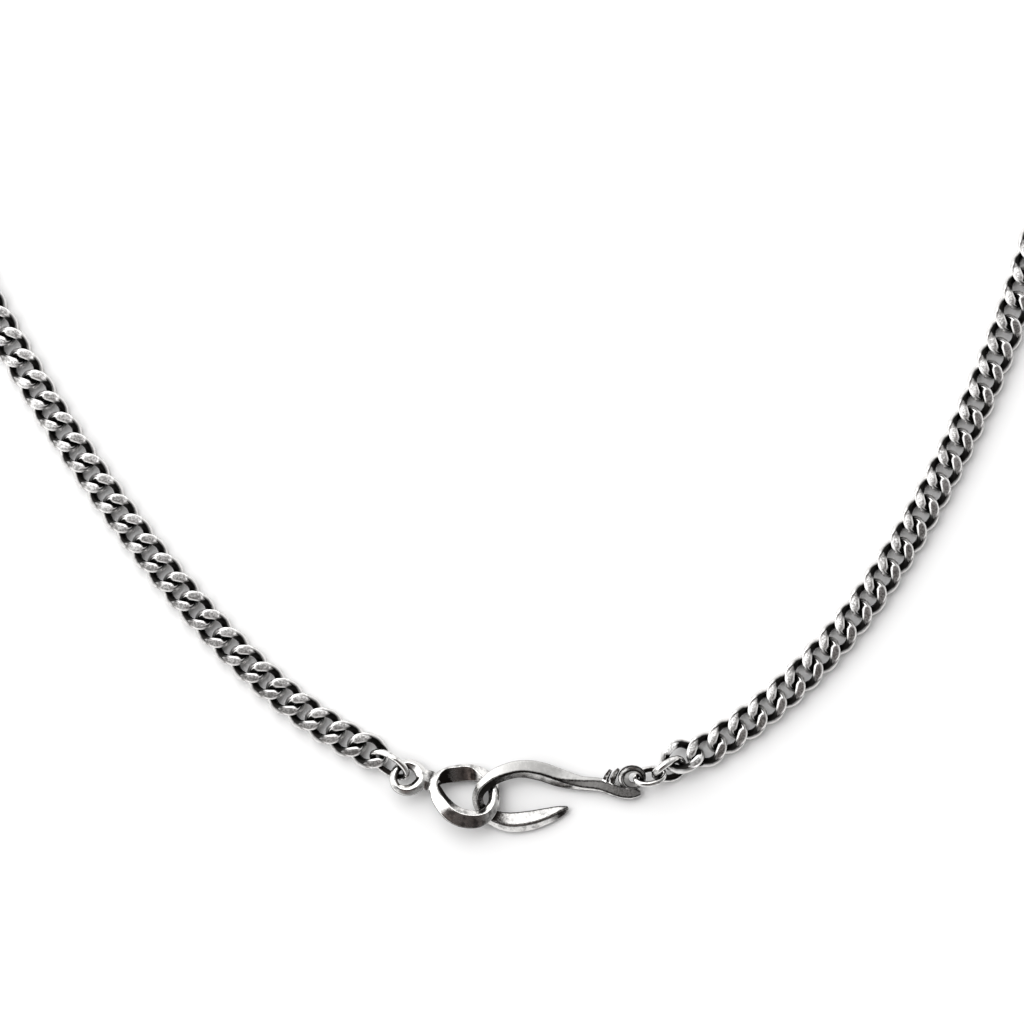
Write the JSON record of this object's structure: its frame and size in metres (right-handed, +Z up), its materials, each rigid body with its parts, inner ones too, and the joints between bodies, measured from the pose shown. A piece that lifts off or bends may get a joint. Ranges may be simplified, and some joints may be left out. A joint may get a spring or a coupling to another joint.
{
  "type": "curb chain necklace with hook-and-eye clasp",
  "caption": "Closed silver curb chain lying flat as a whole loop, ground flat on both faces, with a forged hook hooked through a figure-eight eye.",
  "frame": {"origin": "on the surface it lies on, under the middle of the whole loop", "axes": "+Z up, out of the upper ground faces; +Y away from the clasp, along the loop's long axis; +X to the right, with the hook's loop end on the right of the eye"},
  "size_m": [0.1672, 0.1972, 0.004],
  "materials": {
    "chain_silver": "oxidised silver with satin ground faces and bright worn rims",
    "clasp_silver": "polished forged silver, darkened in its creases"
  },
  "bodies": {
    "root": {"link_01": "chain_silver", "link_02": "chain_silver", "link_03": "chain_silver", "link_04": "chain_silver", "link_05": "chain_silver", "link_06": "chain_silver", "link_07": "chain_silver", "link_08": "chain_silver", "link_09": "chain_silver", "link_10": "chain_silver", "link_11": "chain_silver", "link_12": "chain_silver", "link_13": "chain_silver", "link_14": "chain_silver", "link_15": "chain_silver", "link_16": "chain_silver", "link_17": "chain_silver", "link_18": "chain_silver", "link_19": "chain_silver", "link_20": "chain_silver", "link_21": "chain_silver", "link_22": "chain_silver", "link_23": "chain_silver", "link_24": "chain_silver", "link_25": "chain_silver", "link_26": "chain_silver", "link_27": "chain_silver", "link_28": "chain_silver", "link_29": "chain_silver", "link_30": "chain_silver", "link_31": "chain_silver", "link_32": "chain_silver", "link_33": "chain_silver", "link_34": "chain_silver", "link_35": "chain_silver", "link_36": "chain_silver", "link_37": "chain_silver", "link_38": "chain_silver", "link_39": "chain_silver", "link_40": "chain_silver", "run_1": "chain_silver", "run_2": "chain_silver", "run_3": "chain_silver", "run_4": "chain_silver", "run_5": "chain_silver", "run_6": "chain_silver", "run_7": "chain_silver", "eye": "clasp_silver", "hook": "clasp_silver", "end_link_left": "clasp_silver", "jump_ring": "clasp_silver", "end_link_right_1": "clasp_silver", "end_link_right_2": "chain_silver"}
  },
  "joints": []
}
